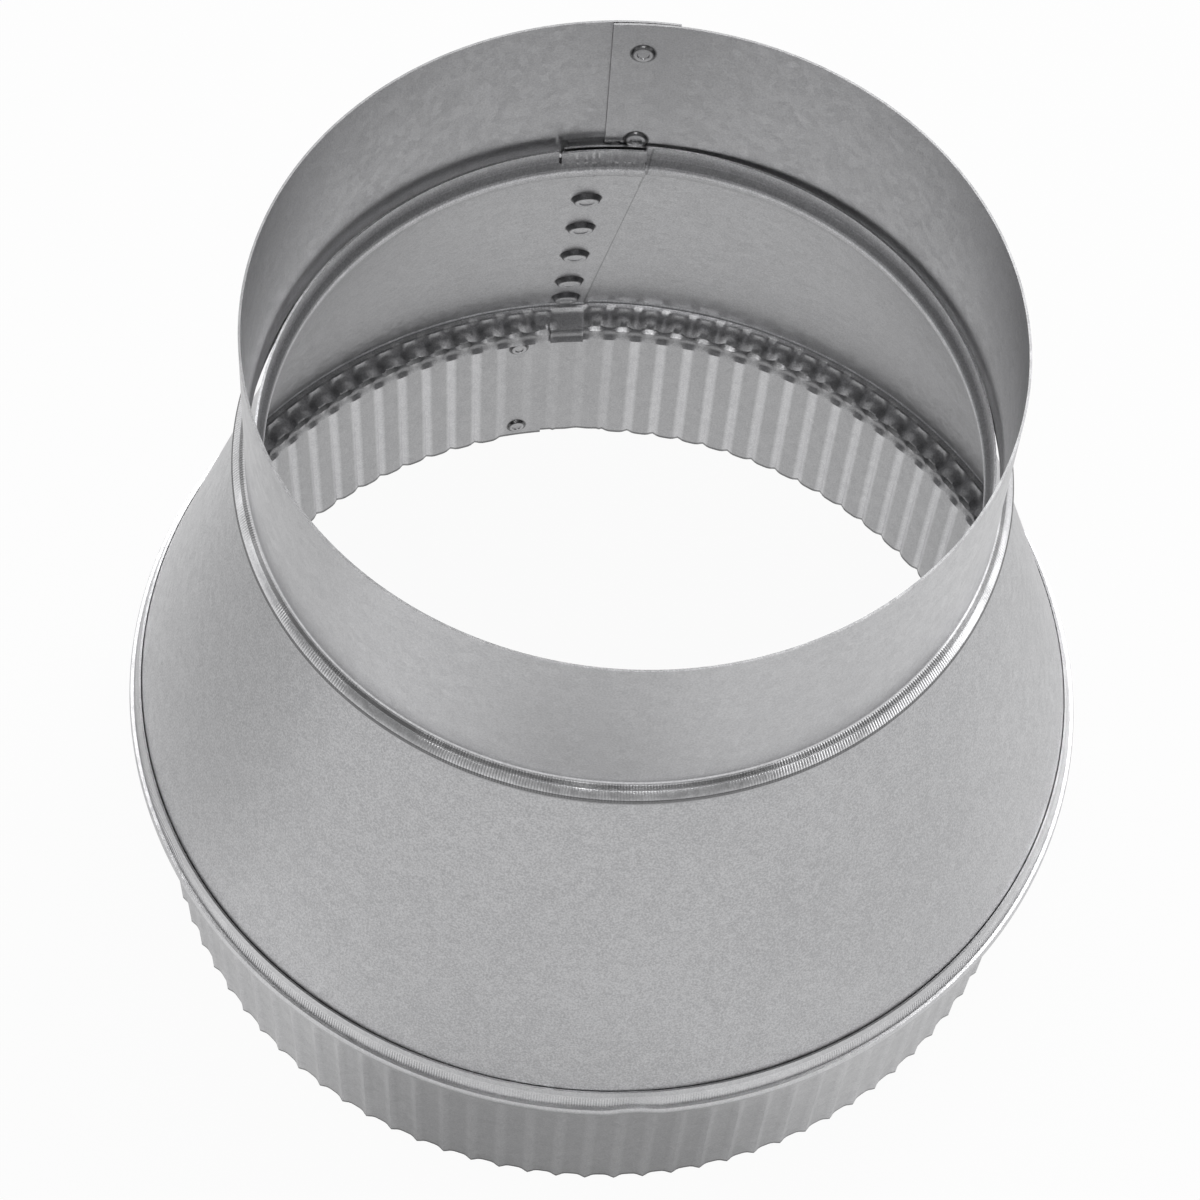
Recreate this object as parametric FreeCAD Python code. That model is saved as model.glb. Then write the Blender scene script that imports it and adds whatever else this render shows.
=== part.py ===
import FreeCAD, Part
import math
import os
from FreeCAD import Placement, Rotation, Vector

# Duct reducer of galvanised sheet steel: a small plain collar, a cone and a large crimped collar.
# Each is one rolled sheet, lapped and clinched at the back (+Y). Millimetres, +Z up, floor at Z = 0.

# Driving dimensions
overall_height = 183.0
sheet = 0.48
small_radius = 76.9
large_radius = 101.5

# Clearances
lap_air = 0.12
lip_air = 1.1
lower_lip_air = 0.3
seat_air = 0.2
small_ring_air = 0.9
large_ring_air = 0.7
clinch_air = 0.5
cut_over = 1.0

# Small collar: plain wall, then a flared ring that wraps the cone's shoulder
small_wall = 42.6
flare_drop = 1.6
small_ring_height = 2.4
small_ring_reach = 2.9
small_lip_drop = 1.6

# Cone: upper lip with an inward bead, tapered wall, lower lip behind an outward bend
shoulder_below_wall = 6.2
cone_height = 86.2
upper_lip_rise = 3.7
upper_bead_depth = 1.3
upper_bead_height = 2.9
upper_bead_slope = 1.6
bend_drop = 1.5
lower_flank_drop = 4.4
lower_lip_length = 4.2
cone_end_top_angle = 91.0
cone_end_bottom_angle = 95.2

# Large collar: flared lip on the cone, ring over the bend, plain band, crimped wall
large_strip_width = 4.6
large_ring_step = 1.0
large_ring_height = 2.0
large_ring_reach = 4.2
large_flank_drop = 5.0
large_band = 2.2

# Crimps of the large collar
crimp_count = 98
crimp_depth = 1.1
crimp_start_depth = 0.75
crimp_run_in = 6.0
crimp_taper = 1.6
crimp_ridge_share = 0.35
crimp_valley_start = 0.55
crimp_valley_end = 0.8
crimp_wall_margin = 0.04

# Laps, as angles about the axis: -90 is the front, 0 the right and 90 the back
front = -90.0
small_inner_start = 10.0
small_outer_end = 87.5
small_inner_end = 98.5
cone_outer_end = 104.5
lip_slit_angle = 103.7
lip_slit = 0.35
large_inner_end = 102.5
large_outer_end = 110.0
plain_before_lap = 6.5
plain_after_lap = 1.2
plain_step = 1.5

# Clinches: button radius, how far it rises inward, and where it stands
small_clinch_radius = 2.45
small_clinch_rise = 1.2
small_clinch_angle = 93.0
small_clinch_below_rim = 9.0
cone_clinch_radius = 2.9
cone_clinch_rise = 1.7
cone_clinch_angle = 99.8
cone_clinch_count = 4
cone_clinch_below_shoulder = 14.1
cone_clinch_above_bend = 16.4
bend_clinch_above_bend = 4.6
large_clinch_radius = 1.6
large_clinch_rise = 0.8
large_clinch_angle = 106.0
large_clinch_above_edge = 3.9
clinch_taper = 0.75
clinch_crown = 0.45

# Roundings
bead_rounding = 1.1
bend_rounding = 0.7

# Sizes worked out from the ones above
lap_step = sheet + lap_air
axis_shift = lap_step / 2
small_turn = math.radians(small_outer_end - small_inner_start)
small_axis_shift = lap_step / (1 - math.cos(small_turn))
wall_end = overall_height - small_wall
shoulder_height = wall_end - shoulder_below_wall
bend_height = shoulder_height - cone_height
upper_lip_radius = small_radius - sheet - lip_air
lower_lip_radius = large_radius - sheet - lower_lip_air
shoulder_radius = upper_lip_radius + lip_air - lap_step + seat_air
large_ring_height_top = bend_height + large_ring_height / 2
large_ring_radius = large_radius + large_ring_reach
bend_radius = large_ring_radius - sheet - large_ring_air
cone_slope = (bend_radius - shoulder_radius) / cone_height
cone_angle = math.degrees(math.atan(cone_slope))
large_band_end = bend_height - large_ring_height / 2 - large_flank_drop - large_band
upper_lip_top = wall_end + upper_lip_rise
lower_lip_top = bend_height - bend_drop - lower_flank_drop
lower_lip_end = lower_lip_top - lower_lip_length
large_joint_start = cone_outer_end + 2 * lip_slit


def cone_radius(height):
    """Outside radius of the cone's wall at a height."""
    return shoulder_radius + (shoulder_height - height) * cone_slope


def turned(point, next_point, after):
    """The rounding arc's three points at a corner, between the corner before and the one after."""
    corner = Vector(0, -next_point[0], next_point[1])
    reach_in = (Vector(0, -point[0], point[1]) - corner).normalize()
    reach_out = (Vector(0, -after[0], after[1]) - corner).normalize()
    half = reach_in.getAngle(reach_out) / 2
    rounding = next_point[2]
    setback = rounding / math.tan(half)
    centre_way = (reach_in + reach_out).normalize()
    middle = corner + centre_way * (rounding / math.sin(half) - rounding)
    return corner + reach_in * setback, middle, corner + reach_out * setback


def outline(corners):
    """Wire of a section's outer face: (radius, height, rounding) corners, drawn at the front."""
    edges = []
    last = Vector(0, -corners[0][0], corners[0][1])
    for index in range(1, len(corners) - 1):
        start, middle, end = turned(corners[index - 1], corners[index], corners[index + 1])
        edges.append(Part.LineSegment(last, start).toShape())
        edges.append(Part.Arc(start, middle, end).toShape())
        last = end
    stop = Vector(0, -corners[-1][0], corners[-1][1])
    edges.append(Part.LineSegment(last, stop).toShape())
    return Part.Wire(edges)


def section(corners):
    """Face of one sheet thickness, inside the outline."""
    return outline(corners).makeOffset2D(-sheet, 0, True, True, False)


def turn(face, start_angle, end_angle, shift):
    """The section turned between two angles. A shift moves the axis towards the start angle."""
    placed = face.copy()
    placed.rotate(Vector(0, 0, 0), Vector(0, 0, 1), start_angle - front)
    start = math.radians(start_angle)
    axis_place = Vector(shift * math.cos(start), shift * math.sin(start), 0)
    return placed.revolve(axis_place, Vector(0, 0, 1), end_angle - start_angle)


def sector(start_angle, end_angle, low, high, reach):
    """Pie slice about the axis, used to cut a sheet's end."""
    face = Part.makePolygon([Vector(0, 0, low), Vector(reach, 0, low), Vector(reach, 0, high),
                             Vector(0, 0, high), Vector(0, 0, low)])
    slice_solid = Part.Face(face).revolve(Vector(0, 0, 0), Vector(0, 0, 1), end_angle - start_angle)
    slice_solid.rotate(Vector(0, 0, 0), Vector(0, 0, 1), start_angle)
    return slice_solid


def clinch(shape, radius, height, angle, tilt, button_radius, rise):
    """Presses a button inward through a lap whose outer face has this radius at this height."""
    depth = 2 * sheet + lap_air + rise
    skin = sheet / 2
    crown_radius = button_radius * clinch_taper
    recess_radius = crown_radius - sheet
    button = Part.makeCone(button_radius, crown_radius, depth - skin, Vector(0, 0, skin))
    recess = Part.makeCone(button_radius - sheet, recess_radius, depth + sheet - clinch_crown,
                           Vector(0, 0, -sheet))
    inward = Placement(Vector(0, 0, 0), Rotation(Vector(0, 1, 0), -90 - tilt))
    out = Placement(Vector(radius, 0, height), Rotation())
    around = Placement(Vector(0, 0, 0), Rotation(Vector(0, 0, 1), angle))
    place = around.multiply(out).multiply(inward)
    button.Placement = place
    recess.Placement = place
    return shape.fuse(button).cut(recess)


def small_collar():
    """Plain collar, its ring flared over the cone's shoulder. Its right sheet laps inside."""
    ring = small_radius + small_ring_reach
    ring_top = wall_end - flare_drop
    ring_foot = ring_top - small_ring_height
    foot_height = ring_foot - small_lip_drop
    foot_radius = cone_radius(foot_height) + sheet + small_ring_air
    face = section([
        (small_radius, overall_height, 0),
        (small_radius, wall_end, bead_rounding),
        (ring, ring_top, bead_rounding),
        (ring, ring_foot, bead_rounding),
        (foot_radius, foot_height, 0),
    ])
    outer = turn(face, small_inner_start, small_outer_end - 360, 0)
    inner = turn(face, small_inner_start, small_inner_end, small_axis_shift)
    collar = outer.fuse(inner)
    high = overall_height - small_clinch_below_rim
    low = upper_lip_top + clinch_air + small_clinch_radius
    for height in (high, low):
        collar = clinch(collar, small_radius, height, small_clinch_angle, 0,
                        small_clinch_radius, small_clinch_rise)
    return collar


def slanted_end_cutter():
    """What the cone's inner sheet loses where its end runs slantwise down the back."""
    top = bend_height + cone_height
    low_x = cone_radius(bend_height) * math.cos(math.radians(cone_end_bottom_angle))
    top_x = cone_radius(top) * math.cos(math.radians(cone_end_top_angle))
    corners = [Vector(low_x, 0, bend_height), Vector(top_x, 0, top), Vector(large_radius, 0, top),
               Vector(large_radius, 0, bend_height), Vector(low_x, 0, bend_height)]
    return Part.Face(Part.makePolygon(corners)).extrude(Vector(0, 2 * large_radius, 0))


def cone():
    """Tapered wall between two lips. Its left sheet laps inside."""
    bead_radius = upper_lip_radius - upper_bead_depth
    bead_top = wall_end - upper_bead_slope / 2
    bead_foot = bead_top - upper_bead_height
    face = section([
        (upper_lip_radius, upper_lip_top, 0),
        (upper_lip_radius, bead_top + upper_bead_slope, bead_rounding),
        (bead_radius, bead_top, bead_rounding),
        (bead_radius, bead_foot, bead_rounding),
        (shoulder_radius, shoulder_height, bead_rounding),
        (bend_radius, bend_height, bend_rounding),
        (bend_radius, bend_height - bend_drop, bend_rounding),
        (lower_lip_radius, lower_lip_top, bead_rounding),
        (lower_lip_radius, lower_lip_end, 0),
    ])
    outer = turn(face, front, cone_outer_end, 0)
    inner = turn(face, front, cone_end_top_angle - 360, axis_shift)
    lip_end = sector(cone_end_top_angle - cut_over, cone_end_bottom_angle, 0, bend_height, bend_radius * 2)
    slit_top = lower_lip_top + lower_flank_drop / 2
    slit = sector(lip_slit_angle, lip_slit_angle + lip_slit, 0, slit_top, bend_radius * 2)
    body = outer.fuse(inner.cut([slanted_end_cutter(), lip_end, slit]))
    high = shoulder_height - cone_clinch_below_shoulder
    low = bend_height + cone_clinch_above_bend
    spacing = (high - low) / (cone_clinch_count - 1)
    heights = [high - index * spacing for index in range(cone_clinch_count)]
    for height in heights + [bend_height + bend_clinch_above_bend]:
        body = clinch(body, cone_radius(height), height, cone_clinch_angle, cone_angle,
                      cone_clinch_radius, cone_clinch_rise)
    return body


def plain_turns(start_angle, end_angle):
    """Evenly spaced (angle, 0) along an uncrimped stretch, the end left out."""
    steps = math.ceil((end_angle - start_angle) / plain_step)
    return [(start_angle + (end_angle - start_angle) * index / steps, 0) for index in range(steps)]


def crimp_turns():
    """(angle, how deep) along the crimped sheet, from its inner end round to its outer end."""
    pitch = 360.0 / crimp_count
    start = large_outer_end + plain_after_lap
    stop = large_inner_end - plain_before_lap + 360
    crimps = int((stop - start) / pitch)
    turns = plain_turns(large_inner_end, start)
    for index in range(crimps):
        foot = start + index * pitch
        turns += [(foot, 0), (foot + crimp_ridge_share * pitch, 0)]
        turns += [(foot + crimp_valley_start * pitch, 1), (foot + crimp_valley_end * pitch, 1)]
    turns += plain_turns(start + crimps * pitch, large_outer_end + 360)
    turns.append((large_outer_end + 360, 0))
    return turns


def plan_point(angle, radius, height):
    """A point of the large collar's sheet: its left half turns about the shifted axis."""
    shift = axis_shift if angle < 270 else 0
    reach = radius - shift
    x = reach * math.cos(math.radians(angle))
    y = reach * math.sin(math.radians(angle)) - shift
    return Vector(x, y, height)


def plan_wire(radius, thickness, depth, height):
    """Closed outline of the sheet's plan at one height."""
    turns = crimp_turns()
    outside = [plan_point(angle, radius - depth * deep, height) for angle, deep in turns]
    inside = [plan_point(angle, radius - thickness - depth * deep, height) for angle, deep in turns]
    points = outside + inside[::-1]
    return Part.makePolygon(points + points[:1])


def crimped_wall():
    """The large collar's wall below its plain band, crimped deeper towards the open end."""
    thin = sheet - 2 * crimp_wall_margin
    top_radius = large_radius - crimp_wall_margin
    run_in = large_band_end - crimp_run_in
    top = plan_wire(top_radius, thin, 0, large_band_end)
    middle = plan_wire(top_radius, sheet, crimp_start_depth, run_in)
    low = plan_wire(large_radius - crimp_taper, sheet, crimp_depth, 0)
    upper = Part.makeLoft([middle, top], True, True)
    lower = Part.makeLoft([low, middle], True, True)
    return upper, lower


def large_collar():
    """Crimped collar, its top flared over the cone's lower bend. Its left sheet laps inside."""
    ring_top = large_ring_height_top
    ring_foot = ring_top - large_ring_height
    strip_foot_radius = large_ring_radius - large_ring_step
    strip_foot_height = ring_top + large_ring_step / 2
    strip_top_height = strip_foot_height + large_strip_width * math.cos(math.radians(cone_angle))
    strip_top_radius = cone_radius(strip_top_height) + sheet + seat_air
    flank_foot = ring_foot - large_flank_drop
    face = section([
        (strip_top_radius, strip_top_height, 0),
        (strip_foot_radius, strip_foot_height, bend_rounding / 2),
        (large_ring_radius, ring_top, bend_rounding / 2),
        (large_ring_radius, ring_foot, bend_rounding),
        (large_radius, flank_foot, bead_rounding),
        (large_radius, large_band_end, 0),
    ])
    outer = turn(face, front, large_outer_end, 0)
    inner = turn(face, front, large_joint_start - 360, axis_shift)
    upper, lower = crimped_wall()
    notch = sector(large_inner_end - cut_over, large_joint_start, lower_lip_end - clinch_air,
                   large_band_end + cut_over, large_radius - sheet - lap_air / 2)
    collar = outer.fuse([inner, upper.cut(notch), lower])
    high = lower_lip_end - 2 * clinch_air - large_clinch_radius
    for height in (high, large_clinch_above_edge):
        radius = large_radius - crimp_taper * (1 - height / large_band_end)
        collar = clinch(collar, radius, height, large_clinch_angle, 0,
                        large_clinch_radius, large_clinch_rise)
    return collar


def save(name, shape):
    """Writes one piece as a STEP file, as a single solid."""
    solid = shape.Solids[0] if len(shape.Solids) == 1 else shape
    solid.exportStep("parts/" + name + ".step")
    print(name, "solids", len(shape.Solids), "valid", shape.isValid(), "volume", round(shape.Volume))


os.makedirs("parts", exist_ok=True)
save("small_collar", small_collar())
save("cone", cone())
save("large_collar", large_collar())
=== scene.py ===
import math

import bpy
from mathutils import Matrix, Vector


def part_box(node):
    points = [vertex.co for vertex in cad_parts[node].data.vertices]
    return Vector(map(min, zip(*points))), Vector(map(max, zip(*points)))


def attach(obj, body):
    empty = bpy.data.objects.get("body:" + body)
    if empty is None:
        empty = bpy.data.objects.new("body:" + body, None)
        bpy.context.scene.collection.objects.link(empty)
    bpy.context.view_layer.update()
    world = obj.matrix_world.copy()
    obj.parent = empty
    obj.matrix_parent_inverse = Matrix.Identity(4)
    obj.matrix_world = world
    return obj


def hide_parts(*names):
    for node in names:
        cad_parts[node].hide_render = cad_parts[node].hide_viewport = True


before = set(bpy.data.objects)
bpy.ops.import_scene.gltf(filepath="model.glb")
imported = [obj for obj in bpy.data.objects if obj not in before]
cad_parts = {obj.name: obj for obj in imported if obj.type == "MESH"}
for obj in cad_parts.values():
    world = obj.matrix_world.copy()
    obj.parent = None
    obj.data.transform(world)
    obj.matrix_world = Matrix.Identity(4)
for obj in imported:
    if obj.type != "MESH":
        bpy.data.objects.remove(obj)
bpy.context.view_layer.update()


# Small collar
# One strip of plain sheet, rolled to a ring whose right end tucks under the left one at the back.
# Its foot is spun out to a rounded ring that grips the cone's shoulder, and two clinches hold the lap.

sheet_thickness = 0.00048
lap_gap = 0.0006
left, right = 1, -1
rim_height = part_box("small_collar")[1].z
small_radius = 0.0769
wall_end = rim_height - 0.0426
ring_radius = small_radius + 0.0029
ring_edge = small_radius + 0.0012
grip_radius = 0.0778
recess_foot, recess_top = wall_end + 0.0002, wall_end + 0.004
recess_from, recess_to = 95.6, 104.6
recess_push = 1.017
outer_roll, even_roll, tucked_roll = 182.5, 100, 88.5
crease_angle = math.radians(35)


def pick(piece, wanted):
    """Opens the piece for editing with only the wanted points selected."""
    bpy.context.view_layer.objects.active = piece
    bpy.ops.object.mode_set(mode="EDIT")
    bpy.ops.mesh.select_mode(type="VERT")
    bpy.ops.mesh.select_all(action="DESELECT")
    bpy.ops.object.mode_set(mode="OBJECT")
    for point in piece.data.vertices:
        point.select = wanted(point.co)
    bpy.ops.object.mode_set(mode="EDIT")
    bpy.ops.mesh.select_mode(type="VERT")


def draw_section(name, corners):
    """The sheet's outer face as a bent line at the front, from (radius, height, setback) corners."""
    radius, height, _ = corners[0]
    bpy.ops.object.select_all(action="DESELECT")
    bpy.ops.mesh.primitive_plane_add(size=0.001, location=(0, -radius, height))
    bpy.ops.object.mode_set(mode="EDIT")
    bpy.ops.mesh.select_mode(type="VERT")
    bpy.ops.mesh.select_all(action="SELECT")
    bpy.ops.mesh.merge(type="CENTER")
    for here, there in zip(corners, corners[1:]):
        step = (0, here[0] - there[0], there[1] - here[1])
        bpy.ops.mesh.extrude_vertices_move(TRANSFORM_OT_translate={"value": step})
    bpy.ops.object.mode_set(mode="OBJECT")
    bpy.ops.object.transform_apply()
    piece = bpy.context.object
    piece.name = name
    for radius, height, setback in corners:
        if setback:
            corner = Vector((0, -radius, height))
            pick(piece, lambda place: (place - corner).length < 1e-6)
            bpy.ops.mesh.bevel(offset=setback, offset_type="OFFSET", segments=5, affect="VERTICES")
            bpy.ops.object.mode_set(mode="OBJECT")
    return piece


def roll(steps, side, degrees, centre):
    """Turns what is selected about an upright axis, leftwards or rightwards from above."""
    bpy.ops.mesh.spin(steps=steps, angle=side * math.radians(degrees), center=centre, axis=(0, 0, 1))


def front_line(place):
    return abs(place.x) < 1e-6 and place.y < 0


def thicken(piece):
    """Merges the seams, turns the faces outwards and gives the sheet its thickness inwards."""
    bpy.ops.object.mode_set(mode="EDIT")
    bpy.ops.mesh.select_all(action="SELECT")
    bpy.ops.mesh.remove_doubles(threshold=0.000003)
    bpy.ops.mesh.normals_make_consistent(inside=False)
    bpy.ops.object.mode_set(mode="OBJECT")
    outwards = sum(face.area * face.normal.xy.dot(face.center.xy) for face in piece.data.polygons)
    if outwards < 0:
        bpy.ops.object.mode_set(mode="EDIT")
        bpy.ops.mesh.flip_normals()
        bpy.ops.object.mode_set(mode="OBJECT")
    wall = piece.modifiers.new("Thickness", "SOLIDIFY")
    wall.thickness = sheet_thickness
    wall.offset = -1
    wall.use_even_offset = True
    bpy.ops.object.modifier_apply(modifier=wall.name)


def pick_crown(tool, inwards):
    """Opens the clinches' tool for editing with only the crowns' flat ends selected."""
    bpy.ops.object.mode_set(mode="EDIT")
    bpy.ops.mesh.select_all(action="DESELECT")
    bpy.ops.object.mode_set(mode="OBJECT")
    for face in tool.data.polygons:
        face.select = len(face.vertices) > 4 and face.normal.dot(inwards) > 0.9
    bpy.ops.object.mode_set(mode="EDIT")
    bpy.ops.mesh.select_mode(type="FACE")


def press_clinches(piece, places, angle, tilt, button, crown, rise, dish):
    """Presses buttons inwards through the lap, at (radius, height) places at one angle, with dished tops.
    Returns the middle of each crown."""
    bpy.ops.object.mode_set(mode="OBJECT")
    depth = sheet_thickness + lap_gap + rise
    across = Vector((math.cos(math.radians(angle)), math.sin(math.radians(angle)), 0))
    inwards = -(across * math.cos(tilt) + Vector((0, 0, math.sin(tilt))))
    turn = inwards.to_track_quat("Z", "Y").to_euler()
    for operation, outer, inner, start, end in (
            ("UNION", button, crown, sheet_thickness / 2, depth),
            ("DIFFERENCE", button - sheet_thickness, crown - sheet_thickness,
             -sheet_thickness, depth - sheet_thickness)):
        bpy.ops.object.select_all(action="DESELECT")
        tools = []
        for radius, height in places:
            middle = across * radius + Vector((0, 0, height)) + inwards * (start + end) / 2
            bpy.ops.mesh.primitive_cone_add(vertices=40, radius1=outer, radius2=inner, depth=end - start,
                                            location=middle, rotation=turn)
            tools.append(bpy.context.object)
        for tool in tools:
            tool.select_set(True)
        bpy.ops.object.join()
        bpy.ops.object.transform_apply()
        tool = bpy.context.object
        if operation == "UNION":
            pick_crown(tool, inwards)
            bpy.ops.mesh.bevel(offset=0.00022, segments=3, affect="EDGES")
            pick_crown(tool, inwards)
            bpy.ops.mesh.inset(thickness=crown * 0.3)
            bpy.ops.mesh.inset(thickness=crown * 0.08, depth=-dish)
            bpy.ops.object.mode_set(mode="OBJECT")
        cut = piece.modifiers.new("Clinch", "BOOLEAN")
        cut.operation = operation
        cut.solver = "MANIFOLD"
        cut.object = tool
        bpy.context.view_layer.objects.active = piece
        bpy.ops.object.modifier_apply(modifier=cut.name)
        bpy.data.objects.remove(tool)
    return [across * radius + Vector((0, 0, height)) + inwards * depth for radius, height in places]


def zinc_skin():
    """Node group for galvanised sheet: faint crystals, clouds of tone, fine specks and a few dark pits."""
    skin = bpy.data.node_groups.new("zinc skin", "ShaderNodeTree")
    sockets = skin.interface
    sockets.new_socket("Place", in_out="INPUT", socket_type="NodeSocketVector")
    sockets.new_socket("Light tone", in_out="INPUT", socket_type="NodeSocketColor")
    sockets.new_socket("Dark tone", in_out="INPUT", socket_type="NodeSocketColor")
    sockets.new_socket("Shine", in_out="INPUT", socket_type="NodeSocketFloat")
    sockets.new_socket("Specks", in_out="INPUT", socket_type="NodeSocketFloat")
    sockets.new_socket("Color", in_out="OUTPUT", socket_type="NodeSocketColor")
    sockets.new_socket("Roughness", in_out="OUTPUT", socket_type="NodeSocketFloat")
    sockets.new_socket("Height", in_out="OUTPUT", socket_type="NodeSocketFloat")
    add, link = skin.nodes.new, skin.links.new
    given, made = add("NodeGroupInput"), add("NodeGroupOutput")
    crystals = add("ShaderNodeTexVoronoi")
    crystals.inputs["Scale"].default_value = 520
    clouds = add("ShaderNodeTexNoise")
    clouds.inputs["Scale"].default_value = 18
    clouds.inputs["Detail"].default_value = 3
    grain = add("ShaderNodeTexNoise")
    grain.inputs["Scale"].default_value = 2600
    grain.inputs["Detail"].default_value = 1
    pits = add("ShaderNodeTexVoronoi")
    pits.inputs["Scale"].default_value = 105
    for texture in (crystals, clouds, grain, pits):
        link(given.outputs["Place"], texture.inputs["Vector"])
    crystal_tone = add("ShaderNodeSeparateColor")
    link(crystals.outputs["Color"], crystal_tone.inputs["Color"])
    faint_clouds = add("ShaderNodeMapRange")
    faint_clouds.inputs["From Min"].default_value = 0.25
    faint_clouds.inputs["From Max"].default_value = 0.75
    faint_clouds.inputs["To Min"].default_value = 0.4
    faint_clouds.inputs["To Max"].default_value = 0.6
    link(clouds.outputs["Fac"], faint_clouds.inputs["Value"])
    mixed = add("ShaderNodeMath")
    mixed.operation = "MULTIPLY_ADD"
    mixed.inputs[1].default_value = 0.2
    link(crystal_tone.outputs["Red"], mixed.inputs[0])
    link(faint_clouds.outputs["Result"], mixed.inputs[2])
    speck_size = add("ShaderNodeMapRange")
    speck_size.inputs["From Min"].default_value = 0.3
    speck_size.inputs["From Max"].default_value = 0.7
    speck_size.inputs["To Min"].default_value = -1
    link(grain.outputs["Fac"], speck_size.inputs["Value"])
    specked = add("ShaderNodeMath")
    specked.operation = "MULTIPLY_ADD"
    link(speck_size.outputs["Result"], specked.inputs[0])
    link(given.outputs["Specks"], specked.inputs[1])
    link(mixed.outputs["Value"], specked.inputs[2])
    pit_tone = add("ShaderNodeSeparateColor")
    link(pits.outputs["Color"], pit_tone.inputs["Color"])
    pit_size = add("ShaderNodeMath")
    pit_size.operation = "MULTIPLY"
    pit_size.inputs[1].default_value = 0.05
    link(pit_tone.outputs["Red"], pit_size.inputs[0])
    in_pit = add("ShaderNodeMath")
    in_pit.operation = "LESS_THAN"
    link(pits.outputs["Distance"], in_pit.inputs[0])
    link(pit_size.outputs["Value"], in_pit.inputs[1])
    pitted = add("ShaderNodeMath")
    pitted.operation = "MULTIPLY_ADD"
    pitted.inputs[1].default_value = -0.5
    link(in_pit.outputs["Value"], pitted.inputs[0])
    link(specked.outputs["Value"], pitted.inputs[2])
    spread = add("ShaderNodeMapRange")
    spread.inputs["From Min"].default_value = 0.2
    spread.inputs["From Max"].default_value = 1
    link(pitted.outputs["Value"], spread.inputs["Value"])
    tone = add("ShaderNodeMix")
    tone.data_type = "RGBA"
    link(spread.outputs["Result"], tone.inputs["Factor"])
    link(given.outputs["Dark tone"], tone.inputs["A"])
    link(given.outputs["Light tone"], tone.inputs["B"])
    link(tone.outputs["Result"], made.inputs["Color"])
    rough = add("ShaderNodeMath")
    rough.operation = "MULTIPLY_ADD"
    rough.inputs[1].default_value = 0.09
    link(crystal_tone.outputs["Green"], rough.inputs[0])
    link(given.outputs["Shine"], rough.inputs[2])
    link(rough.outputs["Value"], made.inputs["Roughness"])
    link(grain.outputs["Fac"], made.inputs["Height"])
    return skin


def pinch_marks():
    """Node group for the fine upright ticks that the pinching wheel leaves between two heights."""
    marks = bpy.data.node_groups.new("pinch marks", "ShaderNodeTree")
    sockets = marks.interface
    sockets.new_socket("Place", in_out="INPUT", socket_type="NodeSocketVector")
    for name in ("Foot", "Top", "Ticks"):
        sockets.new_socket(name, in_out="INPUT", socket_type="NodeSocketFloat")
    sockets.new_socket("Height", in_out="OUTPUT", socket_type="NodeSocketFloat")
    sockets.new_socket("Tone", in_out="OUTPUT", socket_type="NodeSocketFloat")
    add, link = marks.nodes.new, marks.links.new
    given, made = add("NodeGroupInput"), add("NodeGroupOutput")
    parts = add("ShaderNodeSeparateXYZ")
    link(given.outputs["Place"], parts.inputs["Vector"])
    angle = add("ShaderNodeMath")
    angle.operation = "ARCTAN2"
    link(parts.outputs["Y"], angle.inputs[0])
    link(parts.outputs["X"], angle.inputs[1])
    ticks = add("ShaderNodeMath")
    ticks.operation = "MULTIPLY"
    link(angle.outputs["Value"], ticks.inputs[0])
    link(given.outputs["Ticks"], ticks.inputs[1])
    wave = add("ShaderNodeMath")
    wave.operation = "SINE"
    link(ticks.outputs["Value"], wave.inputs[0])
    above = add("ShaderNodeMath")
    above.operation = "GREATER_THAN"
    link(parts.outputs["Z"], above.inputs[0])
    link(given.outputs["Foot"], above.inputs[1])
    below = add("ShaderNodeMath")
    below.operation = "LESS_THAN"
    link(parts.outputs["Z"], below.inputs[0])
    link(given.outputs["Top"], below.inputs[1])
    band = add("ShaderNodeMath")
    band.operation = "MULTIPLY"
    link(above.outputs["Value"], band.inputs[0])
    link(below.outputs["Value"], band.inputs[1])
    worn = add("ShaderNodeTexNoise")
    worn.inputs["Scale"].default_value = 45
    link(given.outputs["Place"], worn.inputs["Vector"])
    depth = add("ShaderNodeMapRange")
    depth.inputs["From Min"].default_value = 0.42
    depth.inputs["From Max"].default_value = 0.62
    link(worn.outputs["Fac"], depth.inputs["Value"])
    uneven = add("ShaderNodeMath")
    uneven.operation = "MULTIPLY"
    link(band.outputs["Value"], uneven.inputs[0])
    link(depth.outputs["Result"], uneven.inputs[1])
    struck = add("ShaderNodeMath")
    struck.operation = "MULTIPLY"
    link(uneven.outputs["Value"], struck.inputs[0])
    link(wave.outputs["Value"], struck.inputs[1])
    link(struck.outputs["Value"], made.inputs["Height"])
    # The ticks' tone follows their height: painted shade in the grooves and painted highlight on the ridges.
    tone = add("ShaderNodeMath")
    tone.operation = "MULTIPLY_ADD"
    tone.inputs[1].default_value = 0.25
    tone.inputs[2].default_value = 1
    link(struck.outputs["Value"], tone.inputs[0])
    link(tone.outputs["Value"], made.inputs["Tone"])
    return marks


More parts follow.
